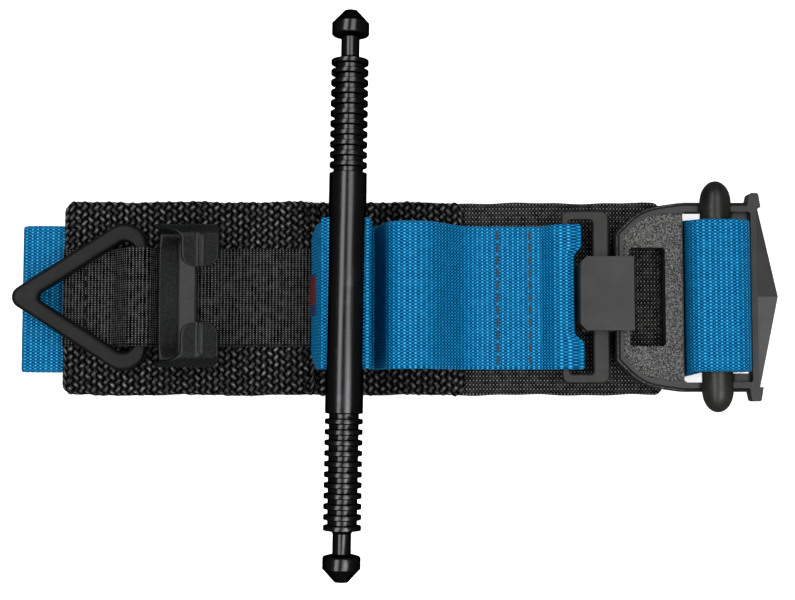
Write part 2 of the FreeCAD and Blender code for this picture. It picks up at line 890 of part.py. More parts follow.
for thing in doc.Objects:
    if "Invalid" in thing.State or "Error" in thing.State:
        raise RuntimeError(f"{thing.Label} did not compute: {thing.State}")

sub_parts = [o for o in doc.Objects if o.TypeId == "PartDesign::Body" or o.TypeId == "Part::Feature"]
for sub_part in sub_parts:
    if sub_part.Shape.isNull() or not sub_part.Shape.isValid():
        raise RuntimeError(f"{sub_part.Label} has no valid shape")

os.makedirs(PARTS, exist_ok=True)
for sub_part in sub_parts:
    sub_part.Shape.exportStep(os.path.join(PARTS, f"{sub_part.Label}.step"))
    box = sub_part.Shape.BoundBox
    print(
        f"{sub_part.Label:24s} solids {len(sub_part.Shape.Solids):3d}"
        f"  x {box.XMin:7.2f} {box.XMax:7.2f}  y {box.YMin:7.2f} {box.YMax:7.2f}"
        f"  z {box.ZMin:6.2f} {box.ZMax:6.2f}"
    )
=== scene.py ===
"""The windlass tourniquet's looks: webbing, thread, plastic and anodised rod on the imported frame."""
import math

import bmesh
import bpy
import numpy as np
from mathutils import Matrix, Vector


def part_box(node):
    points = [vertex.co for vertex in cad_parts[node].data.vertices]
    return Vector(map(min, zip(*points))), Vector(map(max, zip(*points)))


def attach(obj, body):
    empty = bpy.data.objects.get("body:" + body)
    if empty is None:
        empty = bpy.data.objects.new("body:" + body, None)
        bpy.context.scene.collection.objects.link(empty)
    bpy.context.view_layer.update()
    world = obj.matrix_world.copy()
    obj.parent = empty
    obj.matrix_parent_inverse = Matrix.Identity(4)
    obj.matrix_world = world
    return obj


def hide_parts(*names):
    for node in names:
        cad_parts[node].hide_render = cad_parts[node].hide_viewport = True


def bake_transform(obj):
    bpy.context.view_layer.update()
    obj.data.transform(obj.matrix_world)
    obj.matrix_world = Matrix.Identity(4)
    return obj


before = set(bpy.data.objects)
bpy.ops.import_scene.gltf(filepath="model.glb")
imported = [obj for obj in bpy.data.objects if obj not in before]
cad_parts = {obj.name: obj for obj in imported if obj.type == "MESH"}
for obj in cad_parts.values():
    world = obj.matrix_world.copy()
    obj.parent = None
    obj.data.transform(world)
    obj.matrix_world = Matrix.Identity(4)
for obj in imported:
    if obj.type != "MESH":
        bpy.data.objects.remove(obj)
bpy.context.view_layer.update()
scene = bpy.context.scene
MM = 0.001
TAU = 2 * math.pi


# ---------------------------------------------------------------- colours and node helpers
def srgb(red, green, blue):
    """A colour given as 0 to 255 on screen, as the linear colour that a shader takes."""
    made = []
    for value in (red, green, blue):
        v = value / 255
        made.append(v / 12.92 if v <= 0.04045 else ((v + 0.055) / 1.055) ** 2.4)
    return (*made, 1.0)


class Shader:
    """A node material, and short ways to add to it."""

    def __init__(self, name):
        self.material = bpy.data.materials.new(name)
        self.material.use_nodes = True
        self.tree = self.material.node_tree
        self.surface = self.tree.nodes["Principled BSDF"]

    def put(self, socket, value):
        """Link another node's socket here, or set a constant."""
        if isinstance(value, bpy.types.NodeSocket):
            self.tree.links.new(value, socket)
        else:
            socket.default_value = value

    def node(self, kind, **settings):
        made = self.tree.nodes.new(kind)
        for key, value in settings.items():
            setattr(made, key, value)
        return made

    def math(self, operation, *values):
        made = self.node("ShaderNodeMath", operation=operation)
        for socket, value in zip(made.inputs, values):
            self.put(socket, value)
        return made.outputs[0]

    def remap(self, value, low, high, to_low=0.0, to_high=1.0):
        made = self.node("ShaderNodeMapRange", clamp=True)
        for socket, given in zip(made.inputs, (value, low, high, to_low, to_high)):
            self.put(socket, given)
        return made.outputs[0]

    def mix(self, factor, one, two, blend="MIX"):
        made = self.node("ShaderNodeMix", data_type="RGBA", blend_type=blend)
        self.put(made.inputs[0], factor)
        self.put(made.inputs[6], one)
        self.put(made.inputs[7], two)
        return made.outputs[2]

    def noise(self, vector, scale, detail=2.0, roughness=0.5):
        made = self.node("ShaderNodeTexNoise")
        self.put(made.inputs["Vector"], vector)
        self.put(made.inputs["Scale"], scale)
        self.put(made.inputs["Detail"], detail)
        self.put(made.inputs["Roughness"], roughness)
        return made.outputs[0]

    def cloth_place(self):
        """Where a point is on its webbing: the vector, along and across, in millimetres."""
        uv = self.node("ShaderNodeUVMap", uv_map="weave")
        split = self.node("ShaderNodeSeparateXYZ")
        self.put(split.inputs[0], uv.outputs[0])
        return uv.outputs[0], split.outputs[0], split.outputs[1]

    def part_place(self):
        """Where a point is on its part, in metres: the vector and its three coordinates."""
        place = self.node("ShaderNodeTexCoord").outputs["Object"]
        split = self.node("ShaderNodeSeparateXYZ")
        self.put(split.inputs[0], place)
        return place, split.outputs[0], split.outputs[1], split.outputs[2]

    def wave(self, value, pitch, shift=0.0):
        """From 0 to 1 and back once in each pitch."""
        turned = self.math("MULTIPLY_ADD", value, TAU / pitch, shift)
        return self.math("MULTIPLY_ADD", self.math("COSINE", turned), 0.5, 0.5)

    def bump(self, height, distance):
        """A normal for relief whose full height is that distance, in metres."""
        made = self.node("ShaderNodeBump")
        self.put(made.inputs["Height"], height)
        self.put(made.inputs["Distance"], distance)
        self.put(made.inputs["Strength"], 1.0)
        return made.outputs[0]

    def finish(self, **inputs):
        """Set the surface's inputs, named with _ for each space, and give back the material."""
        for name, value in inputs.items():
            self.put(self.surface.inputs[name.replace("_", " ")], value)
        return self.material


# ---------------------------------------------------------------- materials
def float_pattern(shader, along, across, pitch_along, pitch_across, power=0.5):
    """Staggered yarn floats, from 0 in the gaps to 1 on top of each float."""
    a = shader.math("MULTIPLY", along, TAU / pitch_along)
    b = shader.math("MULTIPLY", across, TAU / pitch_across)
    one = shader.math("MULTIPLY_ADD", shader.math("COSINE", shader.math("ADD", a, b)), 0.5, 0.5)
    two = shader.math("MULTIPLY_ADD", shader.math("COSINE", shader.math("SUBTRACT", a, b)), 0.5, 0.5)
    return shader.math("POWER", shader.math("MULTIPLY", one, two), power)


def webbing(name, deep, plain, highlight_and_fade, pitch_along, pitch_across, relief, roughness=0.4,
            columns=0.0, specular=0.6, tint=(1, 1, 1, 1)):
    """Woven tape whose floats run along it: colour, relief and fine filament lines. Its colour has painted
    shade in the gaps between floats and a painted highlight on the floats' tops.

    columns, from 0 to 1, is how far the floats join into lines across the tape."""
    shader = Shader(name)
    place, along, across = shader.cloth_place()
    drift = shader.noise(place, 0.35, 2.0)
    along = shader.math("ADD", along, shader.math("MULTIPLY_ADD", drift, 0.24, -0.12))
    floats = float_pattern(shader, along, across, pitch_along, pitch_across, 0.5)
    if columns:
        lines = shader.wave(along, pitch_along)
        dots = shader.math("MULTIPLY", lines, shader.wave(across, pitch_across, 0.4))
        floats = shader.mix(columns, floats, shader.math("MULTIPLY_ADD", dots, 0.5,
                                                         shader.math("MULTIPLY", lines, 0.5)))
    uneven = shader.noise(place, 1.3, 1.0)
    height = shader.math("MULTIPLY", floats, shader.remap(uneven, 0.3, 0.7, 0.92, 1.0))
    filament = shader.wave(shader.math("MULTIPLY_ADD", along, 0.25, across), 0.17)
    fine = shader.math("MULTIPLY_ADD", filament, 0.1, height)
    # painted shade darkens the gaps between floats, and a painted highlight lightens the float tops
    tone = shader.mix(shader.remap(height, 0.08, 0.5), deep, plain)
    tone = shader.mix(shader.remap(height, 0.5, 0.92, 0.0, 0.8), tone, highlight_and_fade)
    # faded patches are the dye's own fading, mixed toward the highlight colour
    faded = shader.remap(shader.noise(place, 0.5, 3.0), 0.4, 0.75, 0.0, 0.12)
    tone = shader.mix(faded, tone, highlight_and_fade)
    return shader.finish(
        Base_Color=tone,
        Roughness=shader.remap(height, 0.0, 0.8, 0.85, roughness),
        Normal=shader.bump(fine, relief * MM),
        Specular_IOR_Level=shader.remap(height, 0.3, 0.85, 0.0, specular),
        Specular_Tint=tint,
    )


def coarse_wave(along, across):
    """Relief of the heavy webbing, 0 in the gaps and 1 on the loops. Millimetres in, numpy arrays."""
    leaning = along + COARSE_SWAY * np.sin(TAU * across / COARSE_ACROSS)
    column = np.round(leaning / COARSE_ALONG)
    ridge = 0.5 + 0.5 * np.cos(TAU * leaning / COARSE_ALONG)
    loops = 0.5 + 0.5 * np.cos(TAU * (across / COARSE_ACROSS + COARSE_STAGGER * column))
    return np.sqrt(ridge) * (COARSE_JOINED + (1 - COARSE_JOINED) * loops)


def coarse_webbing(name):
    """Heavy black webbing. Its floats are modelled, so the material adds filaments and glints."""
    shader = Shader(name)
    place, along, across = shader.cloth_place()
    sway = shader.math("SINE", shader.math("MULTIPLY", across, TAU / COARSE_ACROSS))
    leaning = shader.math("MULTIPLY_ADD", sway, COARSE_SWAY, along)
    column = shader.math("ROUND", shader.math("DIVIDE", leaning, COARSE_ALONG))
    stepped = shader.math("MULTIPLY_ADD", column, COARSE_STAGGER * COARSE_ACROSS, across)
    loops = shader.wave(stepped, COARSE_ACROSS)
    loops = shader.math("MULTIPLY_ADD", loops, 1 - COARSE_JOINED, COARSE_JOINED)
    ridge = shader.math("POWER", shader.wave(leaning, COARSE_ALONG), 0.5)
    floats = shader.math("MULTIPLY", ridge, loops)
    strands = shader.wave(shader.math("MULTIPLY_ADD", across, 0.3, along), 0.26)
    uneven = shader.noise(place, 0.9, 2.0)
    shade = shader.math("MULTIPLY", floats, shader.remap(uneven, 0.35, 0.65, 0.35, 1.0))
    tone = shader.mix(shader.remap(shade, 0.15, 0.7), srgb(2, 2, 3), srgb(50, 50, 51))
    glint = shader.math("MULTIPLY", shader.remap(shade, 0.6, 0.95), strands)
    tone = shader.mix(shader.math("MULTIPLY", glint, 0.9), tone, srgb(150, 150, 150))
    height = shader.math("MULTIPLY_ADD", strands, 0.8, uneven)
    return shader.finish(
        Base_Color=tone,
        Roughness=shader.remap(shade, 0.2, 1.0, 0.9, 0.4),
        Normal=shader.bump(height, 0.07 * MM),
        Specular_IOR_Level=shader.remap(shade, 0.1, 0.8, 0.0, 0.6),
    )


def plastic(name, colour, scuffed, roughness, grain_size, relief, specular, mottled=0.3):
    """Moulded nylon: fine mould grain, slow mottling and lighter scuffs on it."""
    shader = Shader(name)
    place, _, _, _ = shader.part_place()
    grain = shader.noise(place, 1 / (grain_size * MM), 3.0, 0.6)
    slow = shader.noise(place, 90.0, 3.0)
    scratch = shader.noise(place, 420.0, 6.0, 0.72)
    scuff = shader.remap(scratch, 0.56, 0.72, 0.0, 0.5)
    tone = shader.mix(shader.remap(slow, 0.3, 0.7, 0.0, mottled), colour, scuffed)
    tone = shader.mix(scuff, tone, scuffed)
    normal = shader.bump(grain, relief * MM)
    return shader.finish(
        Base_Color=tone,
        Roughness=shader.remap(grain, 0.3, 0.7, roughness - 0.06, roughness + 0.1),
        Normal=normal,
        Specular_IOR_Level=specular,
    )


def buckle_plastic(name):
    """Nylon with a spark-eroded grain on the sunken plate, whose sparkle is painted as light grey glints,
    and smooth rims round it.
    """
    shader = Shader(name)
    place, along, _, up = shader.part_place()
    level = shader.math("ABSOLUTE", shader.math("SUBTRACT", up, PLATE_LEVEL * MM))
    on_plate = shader.math("LESS_THAN", level, 0.12 * MM)
    left_of_slot = shader.math("LESS_THAN", along, 75.7 * MM)
    plate = shader.math("MULTIPLY", on_plate, left_of_slot)
    cells = shader.node("ShaderNodeTexVoronoi", feature="F1")
    shader.put(cells.inputs["Vector"], place)
    shader.put(cells.inputs["Scale"], 1 / (0.55 * MM))
    pits = shader.noise(place, 1 / (0.38 * MM), 3.0, 0.65)
    # painted glints: light grey speckles on the plate's grain where it would sparkle
    spark = shader.remap(pits, 0.45, 0.62)
    grain_glints = shader.mix(spark, srgb(3, 3, 3), srgb(112, 111, 109))
    slow = shader.noise(place, 110.0, 4.0)
    smooth = shader.mix(shader.remap(slow, 0.3, 0.7, 0.0, 0.5), srgb(15, 16, 15), srgb(42, 43, 42))
    tone = shader.mix(plate, smooth, grain_glints)
    fine = shader.noise(place, 1 / (0.22 * MM), 2.0)
    rough_height = shader.math("ADD", pits, shader.math("MULTIPLY", cells.outputs["Distance"], 0.4))
    height = shader.mix(plate, shader.math("MULTIPLY", fine, 0.08), rough_height)
    return shader.finish(
        Base_Color=tone,
        Roughness=shader.remap(plate, 0.0, 1.0, 0.3, 0.45),
        Normal=shader.bump(height, 0.4 * MM),
        Specular_IOR_Level=shader.remap(plate, 0.0, 1.0, 0.26, 0.5),
    )


def anodised(name):
    """Black anodised aluminium with faint turning marks round the rod."""
    shader = Shader(name)
    place, _, along, _ = shader.part_place()
    marks = shader.noise(place, 300.0, 2.0)
    rings = shader.wave(shader.math("MULTIPLY_ADD", marks, 0.1 * MM, along), 0.24 * MM)
    wear = shader.noise(place, 180.0, 5.0, 0.7)
    tone = shader.mix(shader.remap(wear, 0.58, 0.75, 0.0, 0.5), srgb(58, 58, 59), srgb(92, 92, 94))
    return shader.finish(
        Base_Color=tone,
        Metallic=1.0,
        Specular_Tint=(0.25, 0.25, 0.25, 1),
        Roughness=shader.remap(wear, 0.3, 0.8, 0.2, 0.28),
        Normal=shader.bump(rings, 0.002 * MM),
    )


def thread(name, colour, light):
    """Twisted sewing thread, its raised plies lighter as a painted highlight."""
    shader = Shader(name)
    place, along, across = shader.cloth_place()
    ply = shader.wave(shader.math("ADD", along, across), 0.42)
    # painted highlight on the raised plies
    tone = shader.mix(ply, colour, light)
    return shader.finish(Base_Color=tone, Roughness=0.7, Specular_IOR_Level=0.1,
                         Normal=shader.bump(ply, 0.05 * MM))


def label_cloth(name):
    """A small woven label: a plain dark red block on dark blue, with no words."""
    shader = Shader(name)
    place, along, across = shader.cloth_place()
    inside = shader.math("LESS_THAN", shader.math("ABSOLUTE", shader.math("ADD", across, -1.0)), 3.6)
    right = shader.math("GREATER_THAN", along, 3.3)
    block = shader.math("MULTIPLY", inside, right)
    weave = shader.math("MULTIPLY", shader.wave(along, 0.3), shader.wave(across, 0.3))
    tone = shader.mix(block, srgb(14, 40, 76), srgb(84, 14, 14))
    # painted highlight: the weave's raised threads are lightened a little
    tone = shader.mix(shader.math("MULTIPLY", weave, 0.12), tone, srgb(150, 150, 160))
    return shader.finish(Base_Color=tone, Roughness=0.8, Specular_IOR_Level=0.1,
                         Normal=shader.bump(weave, 0.03 * MM))


# weave pitches along and across the tapes, in millimetres
BLUE_ALONG = 1.36
BLUE_ACROSS = 0.83
COARSE_ALONG = 1.6
COARSE_ACROSS = 2.1
# how far the heavy webbing's columns sway, in millimetres, how far each column's loops are shifted
# from the last one's, as a share of their pitch, and how far the loops of a column are joined
COARSE_SWAY = 0.26
COARSE_STAGGER = 0.5
COARSE_JOINED = 0.35
# the height of the buckle's sunken plate, in millimetres
PLATE_LEVEL = 17.2
# each webbing's first colour is painted shade for the gaps between floats and its last a painted highlight
# on the float tops
BLUE = webbing("blue_webbing", srgb(0, 26, 52), srgb(0, 96, 147), srgb(36, 166, 222),
               BLUE_ALONG, BLUE_ACROSS, 0.15, 0.34, columns=0.35, specular=1.0, tint=(0.4, 0.8, 1, 1))
FINE_BLACK = webbing("fine_black_webbing", srgb(0, 0, 0), srgb(4, 4, 5), srgb(112, 112, 110),
                     0.86, 0.6, 0.2, 0.45, columns=0.6, specular=0.4)
RIB_BLACK = webbing("ribbed_black_webbing", srgb(0, 0, 0), srgb(4, 4, 5), srgb(118, 118, 116),
                    0.9, 1.15, 0.2, 0.45, columns=0.3, specular=0.4)
COARSE_BLACK = coarse_webbing("coarse_black_webbing")
RING_PLASTIC = plastic("ring_plastic", srgb(22, 22, 21), srgb(54, 54, 52), 0.42, 0.4, 0.03, 0.25)
TRI_PLASTIC = plastic("tri_ring_plastic", srgb(6, 6, 6), srgb(26, 26, 25), 0.42, 0.45, 0.05, 0.15)
CLIP_PLASTIC = plastic("clip_plastic", srgb(12, 13, 13), srgb(30, 31, 31), 0.22, 0.7, 0.002, 0.16)
BAR_PLASTIC = plastic("bar_plastic", srgb(12, 12, 11), srgb(62, 61, 58), 0.34, 0.5, 0.03, 0.3)
BUCKLE_PLASTIC = buckle_plastic("buckle_plastic")
ROD = anodised("anodised_aluminium")
# each thread's second colour is the painted highlight on its raised plies
BLACK_THREAD = thread("black_thread", srgb(4, 4, 5), srgb(22, 22, 23))
BROWN_THREAD = thread("brown_thread", srgb(34, 34, 32), srgb(80, 78, 66))
LABEL = label_cloth("label_cloth")


# ---------------------------------------------------------------- webbing
def centreline(corners):
    """Closely spaced points, in millimetres in the XZ plane, on a line whose corners turn on arcs."""
    points = [np.array(c[:2], float) for c in corners]
    made = [points[0]]
    for before, here, after, corner in zip(points, points[1:], points[2:], corners[1:]):
        radius = corner[2] if len(corner) > 2 else 0.0
        back = (before - here) / np.linalg.norm(before - here)
        ahead = (after - here) / np.linalg.norm(after - here)
        turn = math.pi - math.acos(max(-1.0, min(1.0, float(back @ ahead))))
        if radius == 0 or turn < 1e-4:
            made.append(here)
            continue
        middle = (back + ahead) / np.linalg.norm(back + ahead)
        centre = here + middle * radius / math.cos(turn / 2)
        spoke = here + back * radius * math.tan(turn / 2) - centre
        way = math.copysign(1.0, float(-back[0] * ahead[1] + back[1] * ahead[0]))
        for share in np.linspace(0, 1, max(3, int(math.degrees(turn) / 3))):
            c, s = math.cos(way * turn * share), math.sin(way * turn * share)
            made.append(centre + np.array((c * spoke[0] - s * spoke[1], s * spoke[0] + c * spoke[1])))
    made.append(points[-1])
    line = np.array(made)
    steps = np.linalg.norm(np.diff(line, axis=0), axis=1)
    return line[np.concatenate(([True], steps > 1e-6))]


def lengths_of(line):
    """How far along the line each of its points is."""
    return np.concatenate(([0.0], np.cumsum(np.linalg.norm(np.diff(line, axis=0), axis=1))))


def walk(line, run, along, near):
    """The places at those lengths along a line, and its direction there, taken over near to each side."""
    def at(lengths):
        return np.stack([np.interp(lengths, run, line[:, i]) for i in (0, 1)], axis=1)

    ahead = at(np.minimum(along + near, run[-1])) - at(np.maximum(along - near, 0))
    return at(along), ahead / np.linalg.norm(ahead, axis=1)[:, None]


def new_piece(name, points, faces, material, uvs=None):
    """A smooth mesh object from points in millimetres, with its weave's UVs."""
    mesh = bpy.data.meshes.new(name)
    mesh.from_pydata((np.array(points) * MM).tolist(), [], faces)
    if uvs is not None:
        layer = mesh.uv_layers.new(name="weave")
        layer.data.foreach_set("uv", np.array(uvs, np.float32).ravel())
    mesh.polygons.foreach_set("use_smooth", np.ones(len(mesh.polygons), bool))
    mesh.materials.append(material)
    obj = bpy.data.objects.new(name, mesh)
    scene.collection.objects.link(obj)
    return obj


def section(width, thickness, across):
    """The webbing's cross-section with rounded selvages: place across, height, normal, and girth."""
    edge = thickness / 2
    flat = width / 2 - edge
    count = max(4, int(round(2 * flat / across)) + 1)
    over = np.linspace(-flat, flat, count)
    angles = np.radians((60, 30, 0, -30, -60))
    rows = [(t, edge, 0.0, 1.0, t) for t in over]
    half = flat + math.pi * edge
    rows += [(flat + edge * math.cos(g), edge * math.sin(g), math.cos(g), math.sin(g),
              flat + edge * (math.pi / 2 - g)) for g in angles]
    rows += [(t, -edge, 0.0, -1.0, half + flat - t) for t in over[::-1]]
    rows += [(-flat - edge * math.cos(g), -edge * math.sin(g), -math.cos(g), -math.sin(g),
              half + 2 * flat + edge * (math.pi / 2 - g)) for g in angles]
    return np.array(rows), count, len(angles), 2 * half + 2 * flat


def strip(name, corners, width, thickness, material, step=0.6, across=1.0, fine=(), fine_step=0.25,
          relief=None, corner=0.0, uneven=0.0, start=0.0):
    """A length of webbing as a closed mesh along a line in the XZ plane, with its weave's UVs.

    fine lists the stretches, in millimetres along it, that get fine_step. relief(along, girth) gives
    how far the surface stands off the flat one. corner rounds the cut ends' corners in plan."""
    line = centreline(corners)
    run = lengths_of(line)
    length = run[-1]
    stations = set(np.linspace(0, length, max(2, int(length / step) + 1)))
    for low, high in fine:
        high = min(high, length)
        stations = {s for s in stations if not low < s < high}
        stations |= set(np.linspace(low, high, max(2, int((high - low) / fine_step) + 1)))
    if corner:
        for d in corner * (1 - np.cos(np.radians(np.arange(0, 91, 10)))):
            stations |= {d, length - d}
    along = np.array(sorted(stations))
    along = along[np.concatenate(([True], np.diff(along) > 1e-4))]
    place, ahead = walk(line, run, along, 0.12)
    rows, flat_count, edge_count, girth = section(width, thickness, across)
    s, g = np.meshgrid(along + start, rows[:, 4], indexing="ij")
    off = relief(s, g) if relief else np.zeros_like(s)
    narrow = np.ones(len(along))
    if corner:
        inside = np.clip(np.minimum(along, length - along), 0, corner)
        narrow = 1 - (corner - np.sqrt(np.maximum(0, corner ** 2 - (corner - inside) ** 2))) * 2 / width
    sway = uneven * (np.sin(s * 0.21 + 1.0) + 0.6 * np.sin(s * 0.53 + g * 0.05)) / 1.6
    y = (rows[:, 0] + off * rows[:, 2]) * narrow[:, None] + sway * np.abs(rows[:, 2])
    h = rows[:, 1] + off * rows[:, 3]
    x = place[:, :1] - ahead[:, 1:] * h
    z = place[:, 1:] + ahead[:, :1] * h
    n, m = s.shape
    co = np.stack((x, y, z), axis=2).reshape(-1, 3)
    i, k = np.meshgrid(np.arange(n - 1), np.arange(m), indexing="ij")
    k2 = (k + 1) % m
    quads = np.stack((i * m + k, (i + 1) * m + k, (i + 1) * m + k2, i * m + k2), axis=2).reshape(-1, 4)
    girth_after = np.where(k2 == 0, girth + rows[0, 4], rows[k2, 4])
    uv_g = np.stack((rows[k, 4], rows[k, 4], girth_after, girth_after), axis=2).reshape(-1)
    uv_s = np.stack((along[i], along[i + 1], along[i + 1], along[i]), axis=2).reshape(-1) + start
    bottom = flat_count + edge_count
    caps = [[e, e + 1, bottom + flat_count - 2 - e, bottom + flat_count - 1 - e]
            for e in range(flat_count - 1)]
    caps.append(list(range(flat_count - 1, bottom + 1)))
    caps.append([*range(bottom + flat_count - 1, m), 0])
    faces = [list(q) for q in quads.tolist()]
    cap_uv = []
    for c in caps:
        faces.append(c)
        cap_uv += [(start - abs(rows[v, 1]), rows[v, 0]) for v in c]
        last = [(n - 1) * m + v for v in reversed(c)]
        faces.append(last)
        cap_uv += [(start + length + abs(rows[v % m, 1]), rows[v % m, 0]) for v in last]
    uvs = np.concatenate((np.stack((uv_s, uv_g), axis=1), np.array(cap_uv)))
    return new_piece(name, co, faces, material, uvs), length


def coarse_relief(along, girth):
    """The heavy webbing's floats stand 0.1 mm proud and its gaps are 0.3 mm deep."""
    jitter = 0.25 * np.sin(0.37 * along + 1.3 * girth) + 0.25 * np.sin(1.1 * along - 0.6 * girth)
    return (coarse_wave(along, girth + 0.12 * jitter) * (0.92 + 0.16 * jitter)) * 0.42 - 0.3


def rib_relief(along, girth):
    """The lining's edge ribs, which show along its selvages."""
    return 0.1 * np.sin(TAU * along / 1.5) * np.cos(TAU * girth / 0.8) - 0.05


def blue_relief(along, girth):
    """The blue tape's floats, modelled at a third of their height; the material has the rest."""
    a = TAU * along / BLUE_ALONG
    b = TAU * girth / BLUE_ACROSS
    return 0.06 * np.sqrt((0.5 + 0.5 * np.cos(a + b)) * (0.5 + 0.5 * np.cos(a - b))) - 0.04


def ease_between(low, high, value):
    """0 below low, 1 above high, and smooth between."""
    share = np.clip((value - low) / (high - low), 0, 1)
    return share * share * (3 - 2 * share)


def place_on(obj, body, nodes):
    """obj stands for those CAD nodes, which are hidden, and rides on the body."""
    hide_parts(*nodes)
    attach(obj, body)
    return obj


def box_of(node):
    """The low and high corners of a CAD node's box, in millimetres."""
    low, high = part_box(node)
    return [v / MM for v in low], [v / MM for v in high]


def bend_across(obj, nodes):
    """obj stands for those CAD nodes, which are hidden, and its transform is baked into its mesh."""
    if nodes:
        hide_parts(*nodes)
    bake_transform(obj)


def reshape(obj, change):
    """Put a mesh's points, in millimetres as rows of x, y and z, where change says."""
    points = np.array([v.co for v in obj.data.vertices]) / MM
    obj.data.vertices.foreach_set("co", (change(points) * MM).astype(np.float32).ravel())


def flat_piece(name, node, material, step, across, **details):
    """A straight, level length of webbing that fills its CAD node's box: the piece, its width, its
    length and its level."""
    low, high = box_of(node)
    middle = (low[2] + high[2]) / 2
    wide = high[1] - low[1]
    made, length = strip(name, [(low[0], middle), (high[0], middle)], wide, high[2] - low[2], material,
                         step, across, **details)
    return made, wide, length, middle


# the heavy base: lining below, webbing on it, cover on its left two thirds
BASE_CORNER = 2.6
LINING_CORNER = 2.2
# the parts of the base webbing that show: its left end, and what is past the cover
UNDER_SHOWN = [(0, 3), (62, 200)]

cover, wide, length, _ = flat_piece("cover_webbing", "base_cover", COARSE_BLACK, 0.3, 0.33,
                                    relief=coarse_relief, corner=BASE_CORNER, uneven=0.25)
place_on(cover, "base", ["base_cover"])

under, wide, length, _ = flat_piece("under_webbing", "base_webbing", COARSE_BLACK, 1.2, 0.33,
                                    fine=UNDER_SHOWN, fine_step=0.3, relief=coarse_relief,
                                    corner=BASE_CORNER, uneven=0.3, start=3.1)
place_on(under, "base", ["base_webbing"])

lining, wide, length, level = flat_piece("lining_webbing", "base_lining", RIB_BLACK, 0.4, 1.0,
                                         relief=rib_relief, corner=LINING_CORNER, uneven=0.25)
bend_across(lining, ["base_lining"])

# the narrow tape that holds the triangle ring and the clip: it rises over the ring's bar, then over
# the clip's foot
RETAINER_WIDTH = 26.0
RETAINER_LEVEL = 13.9
OVER_BAR = 19.05
OVER_FOOT = 14.65
retainer, length = strip("retainer_tape",
                         [(-87.6, RETAINER_LEVEL), (-74.1, RETAINER_LEVEL, 2), (-69.2, OVER_BAR, 2.4),
                          (-64.4, OVER_BAR, 1.6), (-62.5, OVER_FOOT, 1.2), (-50.8, OVER_FOOT, 3),
                          (-46.6, RETAINER_LEVEL, 3), (-21.2, RETAINER_LEVEL)],
                         RETAINER_WIDTH, 1.0, FINE_BLACK, 0.4, 0.8)
place_on(retainer, "base", ["retainer_webbing"])

# the windlass band: sewn down, up the left leg, through the rod and down the right leg
BAND_WIDTH = 38.1
BAND_THICK = 1.3
BAND_LEVEL = 12.8
RIGHT_LEG = -6.29
LEG_FOOT = 13.4
ROD_LEVEL = 32.6
loop, loop_length = strip("band_windlass_loop",
                          [(-8.4, BAND_LEVEL), (-20.1, BAND_LEVEL, 0.68), (-21.1, 19.5, 9.0),
                           (-17.6, ROD_LEVEL, 1.6), (RIGHT_LEG, ROD_LEVEL, 1.15), (RIGHT_LEG, LEG_FOOT)],
                          BAND_WIDTH, BAND_THICK, BLUE, 0.35, 0.8)


def draw_in(points):
    """The left leg is drawn in at both selvages, so it is fullest in the middle."""
    x, y, z = points.T
    on_leg = (x < -16.6) & (z > 13.6)
    full = np.sin(np.pi * np.clip((z - 13.6) / 18.4, 0, 1))
    drawn = np.clip((np.abs(y) - 13.5) / 5.5, 0, 1) ** 2
    return np.stack((x + np.where(on_leg, 1.7 * full * drawn, 0), y, z), axis=1)


reshape(loop, draw_in)
bend_across(loop, ["band_anchor", "band_left_leg", "band_core", "band_right_leg"])

# on from the right leg: over the hump, along the base, round the ring's bar and back underneath
HUMP_LEVEL = 25.95
BAR_TOP = 18.45
BAR_UNDERSIDE = 14.95
BAR_END = 46.7
RETURN_LEVEL = 11.1
top, length = strip("band_top",
                    [(RIGHT_LEG, LEG_FOOT), (RIGHT_LEG, BAND_LEVEL, 0.58), (-4.7, BAND_LEVEL, 1.0),
                     (-0.6, HUMP_LEVEL, 6.0), (8.6, HUMP_LEVEL, 7), (19.2, BAND_LEVEL, 9),
                     (39.4, BAND_LEVEL, 1.4), (42.6, BAR_TOP, 3), (BAR_END, BAR_TOP, 0.95),
                     (BAR_END, BAR_UNDERSIDE, 0.95), (42.4, BAR_UNDERSIDE, 2.4),
                     (40.4, RETURN_LEVEL, 1.2), (22.6, RETURN_LEVEL)],
                    BAND_WIDTH, BAND_THICK, BLUE, 0.3, 0.3, relief=blue_relief)


def stand_out(points):
    """The loop stands out round the ring's bar, except where the hook presses on it."""
    x, y, z = points.T
    past = np.clip((x - 43.0) / 3.6, 0, 1)
    beside_hook = ease_between(9.9, 12.9, np.abs(y - 0.6))
    bulge = past ** 2 * beside_hook
    return np.stack((x + bulge * np.where(y > 0, 1.9, 2.5), y, z), axis=1)


reshape(top, stand_out)
bend_across(top, ["band_hump", "band_ring_loop", "band_return"])

low, high = box_of("band_label")
label, _ = strip("side_label", [(-21.62, 17.2), (-21.92, 19.6, 9.8), (-20.07, 26.5)],
                 high[1] - low[1], 0.3, LABEL, 0.4, 0.6)
bend_across(label, ["band_label"])

# the long strap, folded under the base, and its wrap round the slide bar
STRAP_WIDTH = 39.4
STRAP_THICK = 1.4
HINGE_X = 70.5
TOP_RUN = 8.2
UPPER_RUN = 6.7
LOWER_RUN = 5.2
TAIL_FROM = 40
FOLD_LEFT = -87.5
FOLD_WIDENS = -92.5
FOLD_END = -99.3
FOLD_TOP = 9.15
FOLD_UNDERSIDE = 5.75
upper, length = strip("strap_upper",
                      [(62, TOP_RUN), (FOLD_LEFT, TOP_RUN, 12), (FOLD_WIDENS, FOLD_TOP, 12),
                       (FOLD_END, FOLD_TOP, 1.6), (FOLD_END, FOLD_UNDERSIDE, 1.6),
                       (FOLD_WIDENS, FOLD_UNDERSIDE, 12), (FOLD_LEFT, UPPER_RUN, 12),
                       (HINGE_X, UPPER_RUN)],
                      STRAP_WIDTH, STRAP_THICK, BLUE, 1.0, 0.8, fine=[(140, 180)], fine_step=0.3)
bend_across(upper, ["main_strap"])

